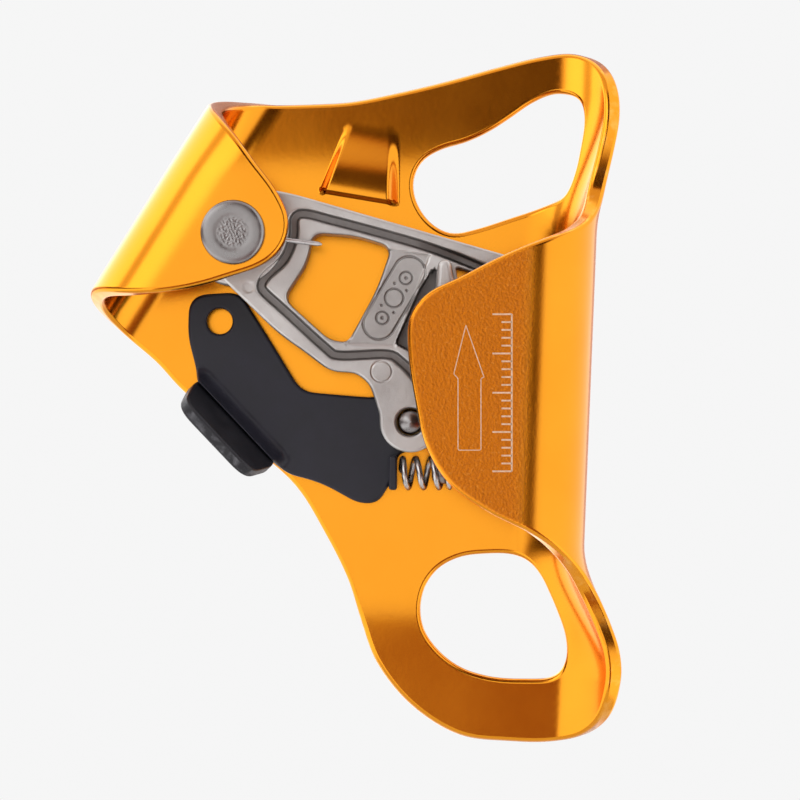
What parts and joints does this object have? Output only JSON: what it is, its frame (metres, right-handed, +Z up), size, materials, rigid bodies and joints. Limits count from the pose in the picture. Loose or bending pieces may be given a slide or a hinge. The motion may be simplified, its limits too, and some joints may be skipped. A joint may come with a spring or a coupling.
{
  "type": "chest ascender",
  "caption": "Chest rope ascender: bent anodised sheet body with a toothed steel cam, a black safety catch with a thumb tab, and an attachment eye at each end.",
  "frame": {"origin": "centre of the lower attachment eye, in the middle plane of the back plate", "axes": "+Z up along the rope, +X towards the rope channel, the front faces -Y"},
  "size_m": [0.0909, 0.0283, 0.119],
  "materials": {
    "body_anodised": "glossy orange-gold anodising, blasted on the channel flap",
    "cam_cast_steel": "investment cast, blasted",
    "rivet_steel": "formed head, dull",
    "spring_steel": "bright drawn wire",
    "bearing_bronze": "sintered",
    "catch_black": "satin black coating",
    "tab_black": "moulded, satin"
  },
  "bodies": {
    "body": {"frame": "body_anodised", "main_rivet": "rivet_steel", "rivet_washer": "rivet_steel", "rear_thrust_washer": "bearing_bronze", "front_thrust_washer": "bearing_bronze"},
    "cam": {"cam": "cam_cast_steel", "cam_bush": "bearing_bronze", "cam_spring": "spring_steel", "catch_pin": "rivet_steel", "pin_clip": "spring_steel", "spring_post": "rivet_steel", "catch_spring": "spring_steel"},
    "catch": {"catch_plate": "catch_black", "thumb_tab": "tab_black", "catch_bush": "bearing_bronze"}
  },
  "joints": [
    {"name": "cam_pivot", "type": "hinge", "parent": "body", "child": "cam", "pos_m": [-0.0433, 0, 0.0657], "axis": [0, 1, 0], "range_deg": [0, 45], "stiffness_Nm_per_rad": 0.1, "springref_deg": -68.75},
    {"name": "catch_pivot", "type": "hinge", "parent": "cam", "child": "catch", "pos_m": [-0.0138, 0, 0.0341], "axis": [0, -1, 0], "range_deg": [0, 30.5], "deforming": ["catch_spring"]}
  ],
  "couplings": [
    {"joint": "catch_pivot", "follows": "cam_pivot", "ratio": 0.67}
  ]
}
